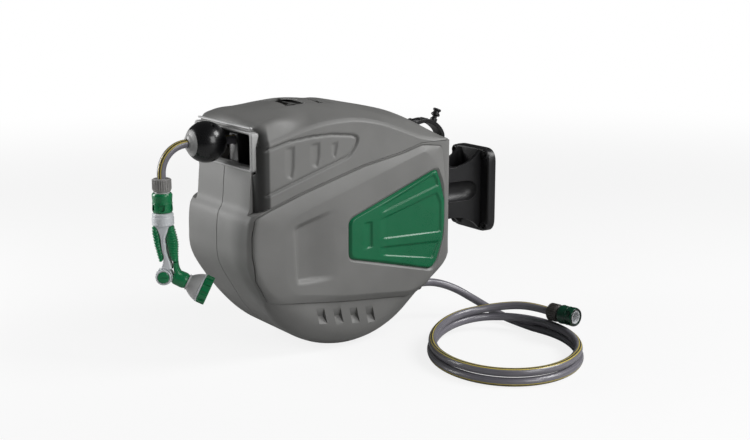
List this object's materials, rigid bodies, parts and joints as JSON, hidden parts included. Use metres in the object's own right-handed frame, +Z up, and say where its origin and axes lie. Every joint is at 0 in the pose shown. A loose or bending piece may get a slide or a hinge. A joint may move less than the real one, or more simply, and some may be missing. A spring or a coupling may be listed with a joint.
{
  "type": "retractable hose reel",
  "caption": "Wall-hung garden hose reel in a closed housing that swings on its bracket, with a guided hose outlet, hanging spray gun and coiled inlet hose.",
  "frame": {"origin": "middle of the wall plate's back face, on the wall", "axes": "+Y into the wall, the reel stands out towards -Y, +Z up, drum axis along X"},
  "size_m": [0.594, 0.704, 0.4463],
  "materials": {
    "housing_grey": "fine moulded texture, mid grey",
    "hood_grey": "fine moulded texture, darker grey",
    "light_grey_plastic": "satin",
    "black_plastic": "satin",
    "green_plastic": "satin",
    "deep_green_plastic": "satin",
    "pale_plastic": "satin",
    "natural_acetal": "satin",
    "plated_steel": "bright plated",
    "spring_steel": "blued, oiled",
    "hose_grey": "satin, striped in the render"
  },
  "bodies": {
    "bracket": {"wall_bracket": "black_plastic", "hinge_pin": "plated_steel"},
    "reel": {"shell_right": "housing_grey", "shell_left": "housing_grey", "hood": "hood_grey", "slot_frame": "light_grey_plastic", "panel_right": "green_plastic", "panel_left": "green_plastic", "rear_hinge": "light_grey_plastic", "gun_holder": "black_plastic", "parking_plug": "black_plastic", "inlet_gland": "black_plastic", "drum_axle": "plated_steel", "bearing_right": "natural_acetal", "bearing_left": "natural_acetal", "water_union": "black_plastic", "inlet_pipe": "black_plastic", "guide_rod": "plated_steel", "carrier_right": "black_plastic", "carrier_left": "black_plastic", "inlet_lead": "hose_grey", "inlet_coil": "hose_grey", "inlet_nut": "light_grey_plastic", "inlet_coupler": "pale_plastic"},
    "drum": {"drum_core": "black_plastic", "flange_right": "black_plastic", "flange_left": "black_plastic", "hose_winding": "hose_grey", "spring_case": "black_plastic", "power_spring": "spring_steel", "drum_gear": "natural_acetal", "ratchet_ring": "black_plastic"},
    "idler": {"idler_gear": "natural_acetal"},
    "screw": {"guide_screw": "plated_steel", "screw_gear": "natural_acetal"},
    "pawl": {"pawl": "natural_acetal"},
    "roller_left": {"slot_roller_left": "black_plastic"},
    "roller_right": {"slot_roller_right": "black_plastic"},
    "guide": {"hose_guide": "natural_acetal", "hose_run": "hose_grey", "outlet_hose": "hose_grey", "ball_upper": "black_plastic", "ball_lower": "black_plastic", "ball_nose": "light_grey_plastic", "outlet_nut": "light_grey_plastic", "outlet_coupler": "light_grey_plastic"},
    "outlet_sleeve": {"outlet_collar": "green_plastic"},
    "gun": {"gun_cap": "pale_plastic", "gun_frame": "pale_plastic", "grip_back": "green_plastic", "grip_front": "green_plastic", "gun_elbow": "green_plastic", "spray_bell": "light_grey_plastic", "head_ring": "pale_plastic"},
    "knob": {"flow_knob": "pale_plastic", "knob_cap": "green_plastic"},
    "dial": {"pattern_dial": "green_plastic", "dial_face": "green_plastic"},
    "inlet_sleeve": {"inlet_collar": "deep_green_plastic"}
  },
  "joints": [
    {"name": "swivel", "type": "hinge", "parent": "bracket", "child": "reel", "pos_m": [0, -0.098, 0], "axis": [0, 0, 1], "range_deg": [-65, 65]},
    {"name": "drum_spin", "type": "hinge", "parent": "reel", "child": "drum", "pos_m": [0, -0.37, -0.04], "axis": [1, 0, 0], "continuous": true},
    {"name": "idler_spin", "type": "hinge", "parent": "reel", "child": "idler", "pos_m": [0, -0.4748, 0.02776], "axis": [1, 0, 0], "continuous": true},
    {"name": "screw_spin", "type": "hinge", "parent": "reel", "child": "screw", "pos_m": [0, -0.505, 0.094], "axis": [1, 0, 0], "continuous": true},
    {"name": "pawl_swing", "type": "hinge", "parent": "reel", "child": "pawl", "pos_m": [0, -0.336, 0.04], "axis": [1, 0, 0], "range_deg": [-20, 0], "stiffness_Nm_per_rad": 0.05, "springref_deg": 20.05},
    {"name": "roller_left_spin", "type": "hinge", "parent": "reel", "child": "roller_left", "pos_m": [-0.093, -0.538, 0.131], "axis": [0, 0, 1], "continuous": true},
    {"name": "roller_right_spin", "type": "hinge", "parent": "reel", "child": "roller_right", "pos_m": [0.093, -0.538, 0.131], "axis": [0, 0, 1], "continuous": true},
    {"name": "guide_travel", "type": "slide", "parent": "reel", "child": "guide", "axis": [1, 0, 0], "range_m": [-0.065, 0.065]},
    {"name": "outlet_sleeve_slide", "type": "slide", "parent": "guide", "child": "outlet_sleeve", "axis": [0, 0, 1], "range_m": [0, 0.0022], "stiffness_N_per_m": 800, "springref_m": -0.002},
    {"name": "gun_swivel", "type": "hinge", "parent": "guide", "child": "gun", "pos_m": [0, -0.6832, 0], "axis": [0, 0, 1], "continuous": true},
    {"name": "flow_knob_turn", "type": "hinge", "parent": "gun", "child": "knob", "pos_m": [0, -0.6832, -0.0843], "axis": [0.8241, -0.5664, 0], "range_deg": [-90, 90]},
    {"name": "pattern_dial_turn", "type": "hinge", "parent": "gun", "child": "dial", "pos_m": [0.03502, -0.63225, -0.1065], "axis": [0.5133, 0.7469, -0.4226], "continuous": true},
    {"name": "inlet_sleeve_slide", "type": "slide", "parent": "reel", "child": "inlet_sleeve", "axis": [-0.9821, -0.1882, 0], "range_m": [0, 0.0022], "stiffness_N_per_m": 800, "springref_m": -0.002}
  ],
  "couplings": [
    {"joint": "idler_spin", "follows": "drum_spin", "ratio": -1.3846},
    {"joint": "screw_spin", "follows": "drum_spin", "ratio": 3.6}
  ]
}
